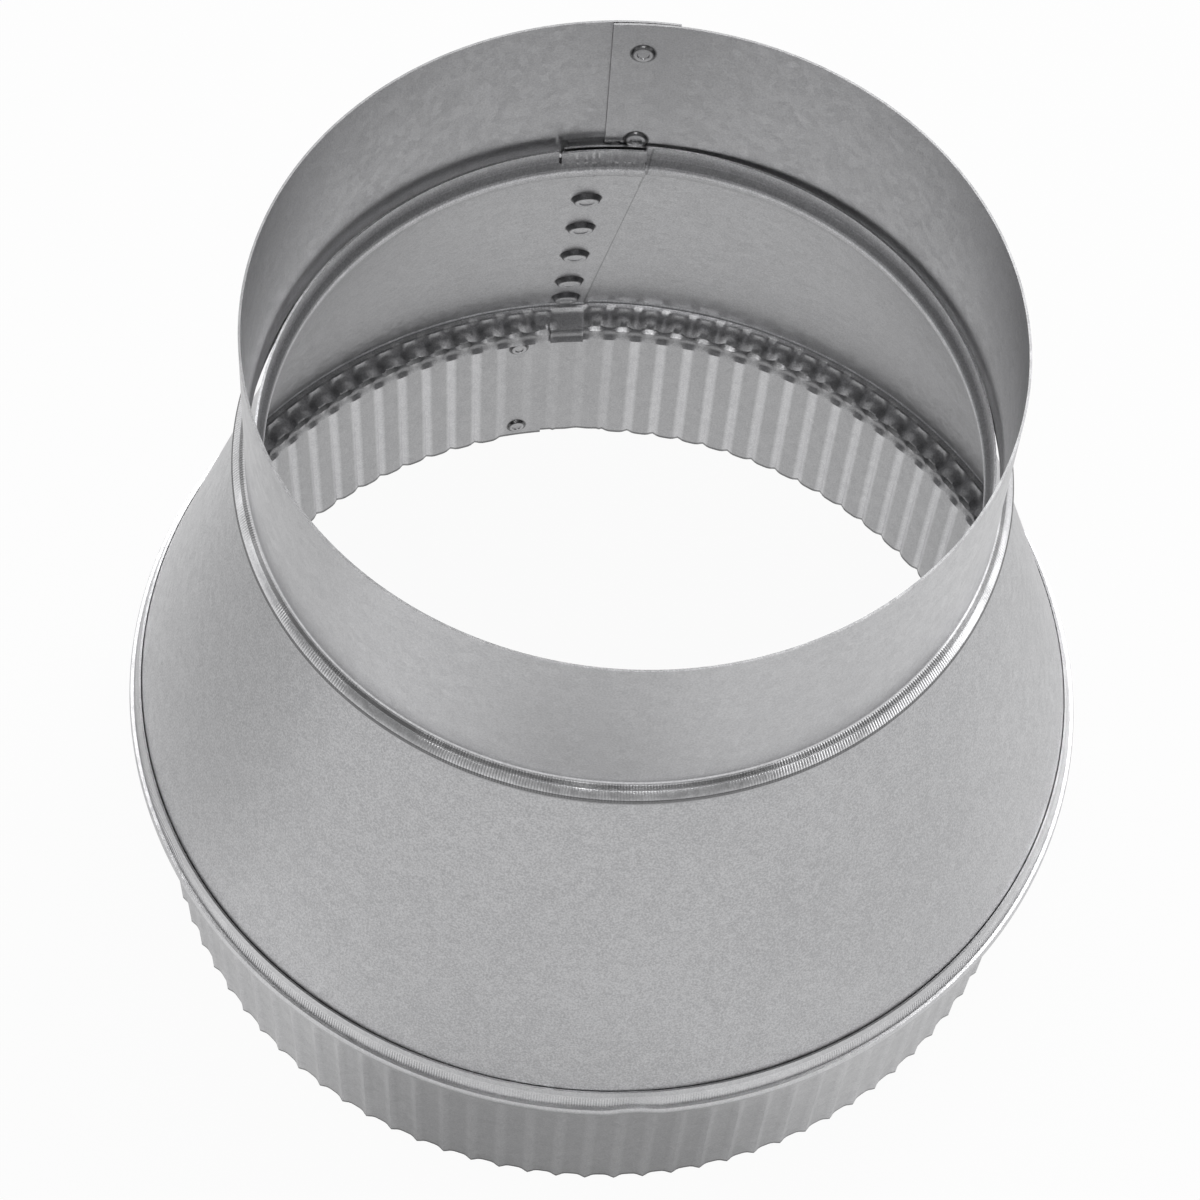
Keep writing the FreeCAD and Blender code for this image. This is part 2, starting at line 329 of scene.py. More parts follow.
def press_shade_ring():
    """Node group for a ring of painted shade round a clinch's button."""
    shade_ring = bpy.data.node_groups.new("press shade ring", "ShaderNodeTree")
    sockets = shade_ring.interface
    sockets.new_socket("Place", in_out="INPUT", socket_type="NodeSocketVector")
    sockets.new_socket("Middle", in_out="INPUT", socket_type="NodeSocketVector")
    sockets.new_socket("Reach", in_out="INPUT", socket_type="NodeSocketFloat")
    sockets.new_socket("Tone", in_out="OUTPUT", socket_type="NodeSocketFloat")
    add, link = shade_ring.nodes.new, shade_ring.links.new
    given, made = add("NodeGroupInput"), add("NodeGroupOutput")
    away = add("ShaderNodeVectorMath")
    away.operation = "DISTANCE"
    link(given.outputs["Place"], away.inputs[0])
    link(given.outputs["Middle"], away.inputs[1])
    share = add("ShaderNodeMath")
    share.operation = "DIVIDE"
    link(away.outputs["Value"], share.inputs[0])
    link(given.outputs["Reach"], share.inputs[1])
    off_ring = add("ShaderNodeMath")
    off_ring.operation = "SUBTRACT"
    off_ring.inputs[1].default_value = 1
    link(share.outputs["Value"], off_ring.inputs[0])
    either_way = add("ShaderNodeMath")
    either_way.operation = "ABSOLUTE"
    link(off_ring.outputs["Value"], either_way.inputs[0])
    # Painted shade, darkest on the ring at the reach.
    ring_shade = add("ShaderNodeMapRange")
    ring_shade.inputs["From Min"].default_value = 0.14
    ring_shade.inputs["From Max"].default_value = 0.24
    ring_shade.inputs["To Min"].default_value = 0.38
    ring_shade.inputs["To Max"].default_value = 1
    link(either_way.outputs["Value"], ring_shade.inputs["Value"])
    link(ring_shade.outputs["Result"], made.inputs["Tone"])
    return shade_ring


zinc, pinched, press_shade = zinc_skin(), pinch_marks(), press_shade_ring()
plain = 0.64


def zinc_material(name, light, dark, shine, specks, bands, crowns, reach, marks=None):
    """Galvanised finish. Bands say from which height up the metal is how bright; they paint highlights and
    shade lines along the folds, and dark cut edges that are partly painted shade. A ring of painted shade
    lies at the reach round each crown. Marks are the foot, the top and the number of a ring's ticks."""
    material = bpy.data.materials.new(name)
    material.use_nodes = True
    tree = material.node_tree
    add, link = tree.nodes.new, tree.links.new
    shader = tree.nodes["Principled BSDF"]
    shader.inputs["Metallic"].default_value = 1
    place = add("ShaderNodeTexCoord")
    skin = add("ShaderNodeGroup")
    skin.node_tree = zinc
    skin.inputs["Light tone"].default_value = (*light, 1)
    skin.inputs["Dark tone"].default_value = (*dark, 1)
    skin.inputs["Shine"].default_value = shine
    skin.inputs["Specks"].default_value = specks
    link(place.outputs["Object"], skin.inputs["Place"])
    link(skin.outputs["Roughness"], shader.inputs["Roughness"])
    bump = add("ShaderNodeBump")
    bump.inputs["Strength"].default_value = 0.12
    bump.inputs["Distance"].default_value = 0.0002
    link(skin.outputs["Height"], bump.inputs["Height"])
    link(bump.outputs["Normal"], shader.inputs["Normal"])
    parts = add("ShaderNodeSeparateXYZ")
    link(place.outputs["Object"], parts.inputs["Vector"])
    share = add("ShaderNodeMath")
    share.operation = "DIVIDE"
    share.inputs[1].default_value = rim_height
    link(parts.outputs["Z"], share.inputs[0])
    # Painted highlights and painted shade lines by height, and dark cut edges that are partly painted shade.
    painted_light_and_edge_bands = add("ShaderNodeValToRGB")
    link(share.outputs["Value"], painted_light_and_edge_bands.inputs["Fac"])
    ramp = painted_light_and_edge_bands.color_ramp
    ramp.interpolation = "CONSTANT"
    ramp.elements.remove(ramp.elements[1])
    ramp.elements[0].color = (bands[0][1],) * 3 + (1,)
    for height, brightness in bands[1:]:
        ramp.elements.new(height / rim_height).color = (brightness,) * 3 + (1,)
    toned = add("ShaderNodeMix")
    toned.data_type = "RGBA"
    toned.blend_type = "MULTIPLY"
    toned.inputs["Factor"].default_value = 1
    link(skin.outputs["Color"], toned.inputs["A"])
    link(painted_light_and_edge_bands.outputs["Color"], toned.inputs["B"])
    so_far = toned.outputs["Result"]
    # Each crown gets a ring of painted shade round its button.
    for middle in crowns:
        shade_ring = add("ShaderNodeGroup")
        shade_ring.node_tree = press_shade
        shade_ring.inputs["Middle"].default_value = middle
        shade_ring.inputs["Reach"].default_value = reach
        link(place.outputs["Object"], shade_ring.inputs["Place"])
        painted_light_and_shade = add("ShaderNodeVectorMath")
        painted_light_and_shade.operation = "SCALE"
        link(so_far, painted_light_and_shade.inputs["Vector"])
        link(shade_ring.outputs["Tone"], painted_light_and_shade.inputs["Scale"])
        so_far = painted_light_and_shade.outputs["Vector"]
    link(so_far, shader.inputs["Base Color"])
    if marks:
        pinch = add("ShaderNodeGroup")
        pinch.node_tree = pinched
        link(place.outputs["Object"], pinch.inputs["Place"])
        for socket, value in zip(("Foot", "Top", "Ticks"), marks):
            pinch.inputs[socket].default_value = value
        ticked = add("ShaderNodeVectorMath")
        ticked.operation = "SCALE"
        link(so_far, ticked.inputs["Vector"])
        link(pinch.outputs["Tone"], ticked.inputs["Scale"])
        link(ticked.outputs["Vector"], shader.inputs["Base Color"])
        ridges = add("ShaderNodeBump")
        ridges.inputs["Strength"].default_value = 0.5
        ridges.inputs["Distance"].default_value = 0.00012
        link(pinch.outputs["Height"], ridges.inputs["Height"])
        link(bump.outputs["Normal"], ridges.inputs["Normal"])
        link(ridges.outputs["Normal"], shader.inputs["Normal"])
    return material


def azimuth(place):
    """How far round a point lies, in degrees from the right towards the back."""
    return math.degrees(math.atan2(place.y, place.x))


def beside_lap(place):
    """The foot of the wall just left of the tucked end, where the outer layer is pressed out."""
    return recess_from < azimuth(place) < recess_to and recess_foot < place.z < recess_top


def smooth_faces(piece):
    """Smooths the rolled faces, leaves sharper folds crisp and clears the material slots."""
    bpy.ops.object.select_all(action="DESELECT")
    piece.select_set(True)
    bpy.context.view_layer.objects.active = piece
    bpy.ops.object.shade_smooth_by_angle(angle=crease_angle)
    piece.data.materials.clear()


small_collar = draw_section("small_collar_sheet", [
    (small_radius, rim_height, 0),
    (small_radius, wall_end + 0.0046, 0),
    (small_radius, wall_end + 0.0038, 0),
    (small_radius, wall_end, 0.0004),
    (ring_edge, wall_end - 0.0007, 0.0001),
    (ring_edge, wall_end - 0.00105, 0),
    (ring_edge + 0.00015, wall_end - 0.0011, 0),
    (ring_radius, wall_end - 0.0028, 0.0003),
    (ring_radius, wall_end - 0.0037, 0.0004),
    (grip_radius, wall_end - 0.0056, 0),
])
pick(small_collar, front_line)
roll(146, left, outer_roll, (0, 0, 0))
pick(small_collar, front_line)
roll(80, right, even_roll, (0, 0, 0))
# The last stretch turns about a shifted centre, so that it is one lap gap inside where the outer layer ends.
turn_in = even_roll - 90
tuck = lap_gap / (1 - math.cos(math.radians(270 - outer_roll - turn_in)))
tuck_centre = (tuck * math.cos(math.radians(turn_in)), tuck * math.sin(math.radians(turn_in)), 0)
roll(71, right, tucked_roll, tuck_centre)
bpy.ops.object.mode_set(mode="OBJECT")
pick(small_collar, beside_lap)
bpy.ops.transform.resize(value=(recess_push, recess_push, 1), center_override=(0, 0, 0))
thicken(small_collar)
crowns = press_clinches(
    small_collar, [(small_radius, rim_height - 0.009), (small_radius, wall_end + 0.0052)],
    angle=93, tilt=0, button=0.0031, crown=0.0022, rise=0.0006, dish=0.0002)
smooth_faces(small_collar)
# The height bands paint a shadow line under the ring, a highlight on its slope, shade in the groove above it
# and a highlight on the ledge; the dark rim edge is partly the cut edge's bare steel and partly painted
# shade.
small_collar.data.materials.append(zinc_material(
    "small collar zinc", light=(0.94, 0.94, 0.955), dark=(0.72, 0.72, 0.735), shine=0.28, specks=0.3,
    bands=[(0, plain), (wall_end - 0.0038, 0.25), (wall_end - 0.0031, 0.88), (wall_end - 0.0011, 0.4),
           (wall_end - 0.00085, 0.85), (wall_end - 0.0001, plain), (rim_height - 0.0003, 0.3)],
    crowns=crowns, reach=0.0024, marks=(wall_end - 0.003, wall_end - 0.0001, 830)))
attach(small_collar, "root")
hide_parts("small_collar")


# Cone
# One flat blank rolled to a taper, left end inside, its lap held by a row of clinches.
# A rolled bead under its upper lip backs the small collar's ring, and the lower lip is knurled.

shoulder = (0.07602, wall_end - 0.0062)
bend = (0.10452, 0.048)
lip_radius = 0.07532
low_lip_radius = 0.10072
flank_top = 0.0465
flank_foot = 0.0421
netting_top = 0.0462
lip_end = 0.0379
lip_foot = wall_end + 0.0002
lap_foot_end, lap_top_end = 97.2, 91
low_slit, top_slit = (101.8, 102.3), (105.1, 105.6)
low_slit_top = 0.0446
lapped_end, beaten_end = 105.3, 105
lip_set_in = 0.992
taper = math.atan((bend[0] - shoulder[0]) / (shoulder[1] - bend[1]))
crimps_per_turn = 98
crimp_pitch = 360 / crimps_per_turn
knurl_rows = (0.12, 0.27, 0.42, 0.57, 0.72, 0.87)
knurl_height = 0.0008
dent_columns, dent_share = 4.6, 0.42
columns = 10


def column_of(place, side, axis_y):
    """Which column of the tile a point lies in, counted from the front."""
    turned = math.degrees(math.atan2(side * -place.x, axis_y - place.y))
    return round(turned / crimp_pitch * columns)


def swell(piece, side, axis_y, column, height, inwards):
    """Moves one point of a tile towards its axis."""
    def wanted(place):
        return column_of(place, side, axis_y) == column and abs(place.z - height) < 2e-6
    pick(piece, wanted)
    wanted_points = [point.co for point in piece.data.vertices if point.select]
    reach = max((Vector((place.x, place.y - axis_y)).length for place in wanted_points), default=1)
    factor = (reach - inwards) / reach
    bpy.ops.transform.resize(value=(factor, factor, 1), center_override=(0, axis_y, 0))
    bpy.ops.object.mode_set(mode="OBJECT")


def copy_round(piece, side, axis_y, copies):
    """Copies a tile side by side round its axis and joins the copies."""
    bpy.ops.object.mode_set(mode="EDIT")
    bpy.ops.mesh.select_all(action="SELECT")
    bpy.ops.mesh.spin(steps=copies - 1, dupli=True, angle=side * math.radians(crimp_pitch * (copies - 1)),
                      center=(0, axis_y, 0), axis=(0, 0, 1))
    bpy.ops.mesh.select_all(action="SELECT")
    bpy.ops.mesh.remove_doubles(threshold=0.000003)


def end_line(side, axis_y, copies):
    """Test for the points where the copied tiles end."""
    end = math.radians(crimp_pitch * copies)
    across = Vector((-side * math.sin(end), -math.cos(end)))

    def wanted(place):
        flat = Vector((place.x, place.y - axis_y))
        return flat.length > 0 and flat.normalized().dot(across) > math.cos(math.radians(0.05))
    return wanted


def knurl(piece, side, axis_y):
    """Raised netting on a tile's flank and lower lip, round two rows of staggered oval dents."""
    for top, foot, middle, nearest in (
            (flank_top, flank_foot, 0.57, lambda column: abs(column - columns / 2)),
            (flank_foot, lip_end, 0.42, lambda column: min(column, columns - column))):
        for share in knurl_rows:
            height = top - share * (top - foot)
            for column in range(columns + 1):
                away = math.hypot(nearest(column) / dent_columns, (share - middle) / dent_share)
                swell(piece, side, axis_y, column, height, knurl_height * min(1, away ** 3))


flank_points = [(bend[0] - share * (bend[0] - low_lip_radius),
                 flank_top - share * (flank_top - flank_foot), 0) for share in knurl_rows]
lip_points = [(low_lip_radius, flank_foot - share * (flank_foot - lip_end), 0) for share in knurl_rows]
cone_section = [
    (lip_radius, wall_end + 0.0037, 0),
    (lip_radius, wall_end + 0.0009, 0),
    (lip_radius - 0.0003, wall_end + 0.0003, 0),
    (lip_radius - 0.0008, wall_end - 0.0004, 0),
    (lip_radius - 0.00118, wall_end - 0.0013, 0),
    (lip_radius - 0.0013, wall_end - 0.0024, 0),
    (lip_radius - 0.00118, wall_end - 0.0035, 0),
    (lip_radius - 0.0008, wall_end - 0.0044, 0),
    (lip_radius - 0.0002, wall_end - 0.0052, 0),
    (*shoulder, 0.0003),
    (*bend, 0.0001),
    (bend[0], flank_top, 0.0003),
    *flank_points,
    (low_lip_radius, flank_foot, 0),
    *lip_points,
    (low_lip_radius, lip_end, 0),
]


def roll_half(name, section, work, end_steps, side, axis_y, copies, whole_turn):
    """Half a sheet from the front: one worked tile, its copies, and a plain stretch up to the lap's end."""
    half = draw_section(name, section)
    pick(half, front_line)
    roll(columns, side, crimp_pitch, (0, axis_y, 0))
    bpy.ops.object.mode_set(mode="OBJECT")
    work(half, side, axis_y)
    copy_round(half, side, axis_y, copies)
    bpy.ops.object.mode_set(mode="OBJECT")
    pick(half, end_line(side, axis_y, copies))
    roll(end_steps, side, whole_turn - crimp_pitch * copies, (0, axis_y, 0))
    bpy.ops.object.mode_set(mode="OBJECT")
    return half


def join_halves(halves, name):
    """Makes one sheet of its two halves."""
    bpy.ops.object.select_all(action="DESELECT")
    for half in halves:
        half.select_set(True)
    bpy.context.view_layer.objects.active = halves[0]
    bpy.ops.object.join()
    halves[0].name = name
    return halves[0]


cone_halves = [roll_half("cone_half", cone_section, knurl, 40, *half)
               for half in ((right, 0, 51, 194.5), (left, -lap_gap / 2, 46, 179))]

# The inside half ends on a slant above the bend and straight below it. A slit in each lip frees its corner.
inside_half = cone_halves[1]
slant_low = bend[0] * math.cos(math.radians(lap_foot_end))
slant_high = shoulder[0] * math.cos(math.radians(lap_top_end))
slant = Vector((bend[1] - shoulder[1], 0, slant_high - slant_low))


def past_slant(place):
    return place.z > bend[1] - 0.0005 and place.y > 0 and place.x < slant_low + 0.02


pick(inside_half, past_slant)
bpy.ops.mesh.bisect(plane_co=(slant_low, 0, bend[1]), plane_no=slant, clear_inner=True)
bpy.ops.object.mode_set(mode="OBJECT")


def lip_waste(face):
    """What is cut away past the lap's end below the bend, and in the two slits."""
    turned = azimuth(face.center)
    below_bend = face.center.z < bend[1] and turned < lap_foot_end
    in_low_slit = face.center.z < low_slit_top and low_slit[0] < turned < low_slit[1]
    in_top_slit = face.center.z > lip_foot and top_slit[0] < turned < top_slit[1]
    return face.center.y > 0 and (below_bend or in_low_slit or in_top_slit)


bpy.ops.object.mode_set(mode="EDIT")
bpy.ops.mesh.select_mode(type="FACE")
bpy.ops.mesh.select_all(action="DESELECT")
bpy.ops.object.mode_set(mode="OBJECT")
for face in inside_half.data.polygons:
    face.select = lip_waste(face)
bpy.ops.object.mode_set(mode="EDIT")
bpy.ops.mesh.delete(type="FACE")
bpy.ops.object.mode_set(mode="OBJECT")


def lapped_lip(place):
    """The corner of the upper lip that the slit frees, which lies inside the outer half's lip."""
    return place.y > 0 and place.z > lip_foot and azimuth(place) < lapped_end


def beaten_bead(place):
    """Where the hammer closed the lap over the bead."""
    on_bead = shoulder[1] + 0.0005 < place.z < wall_end + 0.0012
    return place.y > 0 and on_bead and azimuth(place) < beaten_end


pick(inside_half, lapped_lip)
bpy.ops.transform.resize(value=(lip_set_in, lip_set_in, 1), center_override=(0, 0, 0))
bpy.ops.object.mode_set(mode="OBJECT")
pick(inside_half, beaten_bead)
bpy.ops.transform.vertex_random(offset=0.0002, seed=3)
bpy.ops.object.mode_set(mode="OBJECT")

cone = join_halves(cone_halves, "cone_sheet")
thicken(cone)
bend_clinch = bend[1] + 0.0046
top_clinch = shoulder[1] - 0.0141
low_clinch = bend[1] + 0.0164
heights = [top_clinch + (low_clinch - top_clinch) * place / 3 for place in range(4)] + [bend_clinch]
crowns = press_clinches(
    cone, [(shoulder[0] + (shoulder[1] - height) * math.tan(taper), height) for height in heights],
    angle=99.8, tilt=taper, button=0.0039, crown=0.0027, rise=0.0011, dish=0.0002)
smooth_faces(cone)
# The height bands paint shade over the knurled netting, a highlight and a shade line at the bend, a shadow
# line at the shoulder, shade on the bead's flanks with a highlight on its crest, and a highlight on the lip's
# top edge.
cone_zinc = zinc_material(
    "cone zinc", light=(0.92, 0.92, 0.935), dark=(0.66, 0.66, 0.675), shine=0.3, specks=0.45,
    bands=[(0, 0.42), (netting_top, plain), (0.0466, 1), (0.0478, plain), (0.0481, 0.35), (0.0486, plain),
           (shoulder[1] - 0.0002, 0.35), (shoulder[1] + 0.0002, 0.58), (wall_end - 0.0038, 0.7),
           (wall_end - 0.003, 0.95), (wall_end - 0.0021, 0.72), (wall_end - 0.0011, 0.5), (wall_end, plain),
           (wall_end + 0.0034, 1)],
    crowns=crowns, reach=0.0031)
# The lap's cut edge shows as a thin dark line up the inside, partly its bare steel and partly painted shade.
# The netting's raised places get painted highlights.
tree = cone_zinc.node_tree
add, link = tree.nodes.new, tree.links.new
cone_place = add("ShaderNodeTexCoord")
parts = add("ShaderNodeSeparateXYZ")
link(cone_place.outputs["Object"], parts.inputs["Vector"])
facing = add("ShaderNodeNewGeometry")
outwards = add("ShaderNodeVectorMath")
outwards.operation = "DOT_PRODUCT"
link(facing.outputs["Normal"], outwards.inputs[0])
link(cone_place.outputs["Object"], outwards.inputs[1])
within = add("ShaderNodeMath")
within.operation = "LESS_THAN"
within.inputs[1].default_value = 0.03
link(outwards.outputs["Value"], within.inputs[0])
off_slant = add("ShaderNodeVectorMath")
off_slant.operation = "DOT_PRODUCT"
off_slant.inputs[1].default_value = slant.normalized()
link(cone_place.outputs["Object"], off_slant.inputs[0])
on_slant = add("ShaderNodeMath")
on_slant.operation = "COMPARE"
on_slant.inputs[1].default_value = slant.normalized().dot(Vector((slant_low, 0, bend[1])))
on_slant.inputs[2].default_value = 0.00022
link(off_slant.outputs["Value"], on_slant.inputs[0])
behind = add("ShaderNodeMath")
behind.operation = "GREATER_THAN"
behind.inputs[1].default_value = 0
link(parts.outputs["Y"], behind.inputs[0])
over_bend = add("ShaderNodeMath")
over_bend.operation = "GREATER_THAN"
over_bend.inputs[1].default_value = bend[1] - 0.0004
link(parts.outputs["Z"], over_bend.inputs[0])
upper_back = add("ShaderNodeMath")
upper_back.operation = "MULTIPLY"
link(over_bend.outputs["Value"], upper_back.inputs[0])
link(behind.outputs["Value"], upper_back.inputs[1])
at_back = add("ShaderNodeMath")
at_back.operation = "MULTIPLY"
link(within.outputs["Value"], at_back.inputs[0])
link(upper_back.outputs["Value"], at_back.inputs[1])
seam = add("ShaderNodeMath")
seam.operation = "MULTIPLY"
link(at_back.outputs["Value"], seam.inputs[0])
link(on_slant.outputs["Value"], seam.inputs[1])
# Painted shade along the lap's step, over its cut edge.
edge_and_step_shade = add("ShaderNodeMath")
edge_and_step_shade.operation = "MULTIPLY_ADD"
edge_and_step_shade.inputs[1].default_value = -0.35
edge_and_step_shade.inputs[2].default_value = 1
link(seam.outputs["Value"], edge_and_step_shade.inputs[0])
# Painted highlights on the netting's raised places.
raised_glint = add("ShaderNodeMapRange")
raised_glint.inputs["From Min"].default_value = 0.5
raised_glint.inputs["From Max"].default_value = 0.58
raised_glint.inputs["To Max"].default_value = 0.5
link(facing.outputs["Pointiness"], raised_glint.inputs["Value"])
netted = add("ShaderNodeMath")
netted.operation = "LESS_THAN"
netted.inputs[1].default_value = netting_top
link(parts.outputs["Z"], netted.inputs[0])
netting_glints_and_seam = add("ShaderNodeMath")
netting_glints_and_seam.operation = "MULTIPLY_ADD"
link(raised_glint.outputs["Result"], netting_glints_and_seam.inputs[0])
link(netted.outputs["Value"], netting_glints_and_seam.inputs[1])
link(edge_and_step_shade.outputs["Value"], netting_glints_and_seam.inputs[2])
painted_light_and_shade = add("ShaderNodeVectorMath")
painted_light_and_shade.operation = "SCALE"
shader = tree.nodes["Principled BSDF"]
link(shader.inputs["Base Color"].links[0].from_socket, painted_light_and_shade.inputs["Vector"])
link(netting_glints_and_seam.outputs["Value"], painted_light_and_shade.inputs["Scale"])
link(painted_light_and_shade.outputs["Vector"], shader.inputs["Base Color"])
cone.data.materials.append(cone_zinc)
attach(cone, "root")
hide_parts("cone")


# Large collar
# A wider strip whose top is flared over the cone's bend and pinched to a ring round it.
# Below the ring its wall is crimped, only faintly over the lap, so that it slides into the next duct.

large_radius = 0.1015
wall_lean = 0.0016
band_end = 0.0398
double_top = 0.039
double_from, double_to = 94.2, 100.6
lap_middle = 101
knock_x, knock_push, knock_reach = 0.015, 0.9955, 0.006
ring_top = bend[1] + 0.001
ring_foot = bend[1] - 0.001
large_ring = large_radius + 0.0042
strip_foot = ring_top + 0.0002
strip_top = strip_foot + 0.0046 * math.cos(taper)
crimp_rows = ((0.0385, 0.00008), (0.037, 0.00025), (0.0354, 0.00045), (0.0338, 0.0006), (0.0225, 0.0007),
              (0.0112, 0.00075), (0, 0.0008))
crimp_shape = (0, 0.35, 0.75, 0.95, 1, 1, 1, 0.95, 0.75, 0.35)


def on_cone(height, gap):
    """Radius of this sheet's outer face where it lies on the cone."""
    return shoulder[0] + (shoulder[1] - height) * math.tan(taper) + sheet_thickness + gap


def wall_radius(height):
    """The large collar's wall leans in a little towards its open end."""
    return large_radius - wall_lean * (1 - height / band_end)


def crimp(piece, side, axis_y):
    """Presses one broad groove into a tile's wall, deeper towards the open end, and leaves a narrow ridge."""
    for height, depth in crimp_rows:
        for column, share in enumerate(crimp_shape):
            if share:
                swell(piece, side, axis_y, column, height, depth * share)


large_section = [
    (on_cone(strip_top, 0.0002), strip_top, 0),
    (on_cone(strip_foot, 0.0001), strip_foot, 0),
    (large_ring - 0.0003, strip_foot + 0.00005, 0),
    (large_ring, strip_foot - 0.0008, 0.0002),
    (large_ring, ring_foot, 0.0003),
    (large_radius, ring_foot - 0.005, 0.0004),
    (large_radius, band_end, 0),
    *[(wall_radius(height), height, 0) for height, _ in crimp_rows],
]
large_halves = [roll_half("large_half", large_section, crimp, 16, *half)
                for half in ((right, 0, 52, 200), (left, -lap_gap / 2, 44, 167.5))]


def double_wall(place):
    """Where the lap lies under it, the outer half takes the crimps only faintly."""
    return place.z < double_top and double_from < azimuth(place) < double_to


pick(large_halves[0], double_wall)
bpy.ops.mesh.vertices_smooth(factor=0.5, repeat=14, zaxis=False)
bpy.ops.object.mode_set(mode="OBJECT")
large_collar = join_halves(large_halves, "large_collar_sheet")


def bruise(place):
    """The small knock in the ring at the front."""
    at_knock = abs(place.x - knock_x) < 0.001 and place.z > ring_foot
    return place.y < 0 and at_knock and place.xy.length > 0.105


pick(large_collar, bruise)
bpy.ops.transform.resize(value=(knock_push, knock_push, 1), center_override=(0, 0, 0),
                         use_proportional_edit=True, proportional_edit_falloff="SMOOTH",
                         proportional_size=knock_reach)
bpy.ops.object.mode_set(mode="OBJECT")
thicken(large_collar)
crowns = press_clinches(
    large_collar, [(wall_radius(height), height) for height in (0.0353, 0.0039)],
    angle=106, tilt=0, button=0.0026, crown=0.0018, rise=0.0006, dish=0.0002)
smooth_faces(large_collar)
# The height bands paint a dark bottom edge that is partly the cut edge's bare steel and partly painted
# contact shadow, a shade line and a highlight on the ring, and shade in the crease above it; the pinched
# strip is lighter.
collar_zinc = zinc_material(
    "large collar zinc", light=(0.94, 0.94, 0.95), dark=(0.72, 0.72, 0.735), shine=0.3, specks=0.3,
    bands=[(0, 0.3), (0.0005, plain), (0.0472, 0.4), (0.0477, 0.8), (strip_foot - 0.0001, 0.45),
           (strip_foot + 0.0001, 0.85), (strip_foot + 0.0026, 0.74)],
    crowns=crowns, reach=0.0021, marks=(strip_foot + 0.0002, strip_foot + 0.0026, 1150))
# The ridges between the crimps get a painted highlight, more inside than outside and only faintly at the lap.
tree = collar_zinc.node_tree
add, link = tree.nodes.new, tree.links.new
collar_place = add("ShaderNodeTexCoord")
parts = add("ShaderNodeSeparateXYZ")
link(collar_place.outputs["Object"], parts.inputs["Vector"])
angle = add("ShaderNodeMath")
angle.operation = "ARCTAN2"
link(parts.outputs["Y"], angle.inputs[0])
link(parts.outputs["X"], angle.inputs[1])
turns = add("ShaderNodeMath")
turns.operation = "MULTIPLY"
turns.inputs[1].default_value = crimps_per_turn
link(angle.outputs["Value"], turns.inputs[0])
wave = add("ShaderNodeMath")
wave.operation = "COSINE"
link(turns.outputs["Value"], wave.inputs[0])
ridge = add("ShaderNodeMapRange")
ridge.inputs["From Min"].default_value = -0.1
ridge.inputs["From Max"].default_value = -0.8
link(wave.outputs["Value"], ridge.inputs["Value"])
crimped = add("ShaderNodeMapRange")
crimped.inputs["From Min"].default_value = 0.0388
crimped.inputs["From Max"].default_value = 0.0372
link(parts.outputs["Z"], crimped.inputs["Value"])
painted_light_and_shade = add("ShaderNodeMath")
painted_light_and_shade.operation = "MULTIPLY"
link(ridge.outputs["Result"], painted_light_and_shade.inputs[0])
link(crimped.outputs["Result"], painted_light_and_shade.inputs[1])
facing = add("ShaderNodeNewGeometry")
outwards = add("ShaderNodeVectorMath")
outwards.operation = "DOT_PRODUCT"
link(facing.outputs["Normal"], outwards.inputs[0])
link(collar_place.outputs["Object"], outwards.inputs[1])
strength = add("ShaderNodeMapRange")
strength.inputs["From Min"].default_value = -0.01
strength.inputs["From Max"].default_value = 0.01
strength.inputs["To Min"].default_value = 0.4
strength.inputs["To Max"].default_value = 0.1
link(outwards.outputs["Value"], strength.inputs["Value"])
from_lap = add("ShaderNodeMath")
from_lap.operation = "SUBTRACT"
from_lap.inputs[1].default_value = math.radians(lap_middle)
link(angle.outputs["Value"], from_lap.inputs[0])
lap_side = add("ShaderNodeMath")
lap_side.operation = "ABSOLUTE"
link(from_lap.outputs["Value"], lap_side.inputs[0])
single = add("ShaderNodeMapRange")
single.inputs["From Min"].default_value = math.radians(5)
single.inputs["From Max"].default_value = math.radians(12)
single.inputs["To Min"].default_value = 0.2
link(lap_side.outputs["Value"], single.inputs["Value"])
painted_sheen_strength = add("ShaderNodeMath")
painted_sheen_strength.operation = "MULTIPLY"
link(strength.outputs["Result"], painted_sheen_strength.inputs[0])
link(single.outputs["Result"], painted_sheen_strength.inputs[1])
# Painted highlight on the crimps' ridges.
painted_ridge_light = add("ShaderNodeMath")
painted_ridge_light.operation = "MULTIPLY_ADD"
painted_ridge_light.inputs[2].default_value = 0.93
link(painted_light_and_shade.outputs["Value"], painted_ridge_light.inputs[0])
link(painted_sheen_strength.outputs["Value"], painted_ridge_light.inputs[1])
ridge_lit_color = add("ShaderNodeVectorMath")
ridge_lit_color.operation = "SCALE"
shader = tree.nodes["Principled BSDF"]
link(shader.inputs["Base Color"].links[0].from_socket, ridge_lit_color.inputs["Vector"])
link(painted_ridge_light.outputs["Value"], ridge_lit_color.inputs["Scale"])
link(ridge_lit_color.outputs["Vector"], shader.inputs["Base Color"])
large_collar.data.materials.append(collar_zinc)
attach(large_collar, "root")
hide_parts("large_collar")


# Camera, floor and light
# The photographer looked steeply down from the front, with the picture turned a little.
# A pale table carries the reducer, and broad soft lamps stand round it.

